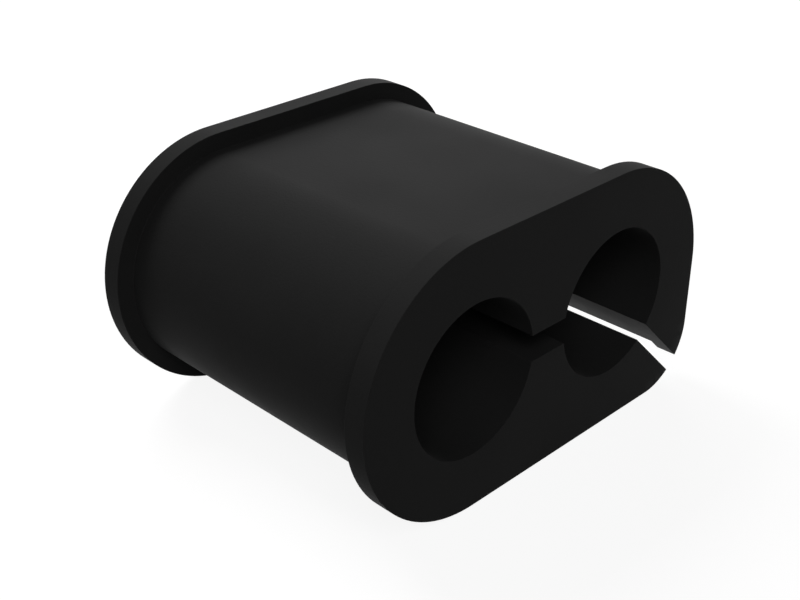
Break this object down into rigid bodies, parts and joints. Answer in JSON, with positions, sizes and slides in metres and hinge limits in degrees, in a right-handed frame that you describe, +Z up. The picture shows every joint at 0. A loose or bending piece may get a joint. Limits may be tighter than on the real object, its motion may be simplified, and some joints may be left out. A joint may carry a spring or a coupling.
{
  "type": "two-hole rubber grommet",
  "caption": "Oblong split rubber grommet with flanged ends, side-by-side cable bores joined by a slot, and a diagonal slit that opens one bore at a corner.",
  "frame": {"origin": "midway between the two bore axes and midway between the two flange end faces, which is the centre of the bounding box", "axes": "+X from the plain bore to the slit bore; +Y along the bores, from the front face to the back face; +Z up, with the flat undersides of the flanges at the bottom"},
  "size_m": [0.052, 0.0408, 0.03],
  "materials": {
    "black_rubber": "moulded black rubber, satin matt"
  },
  "bodies": {
    "root": {"grommet": "black_rubber"}
  },
  "joints": []
}
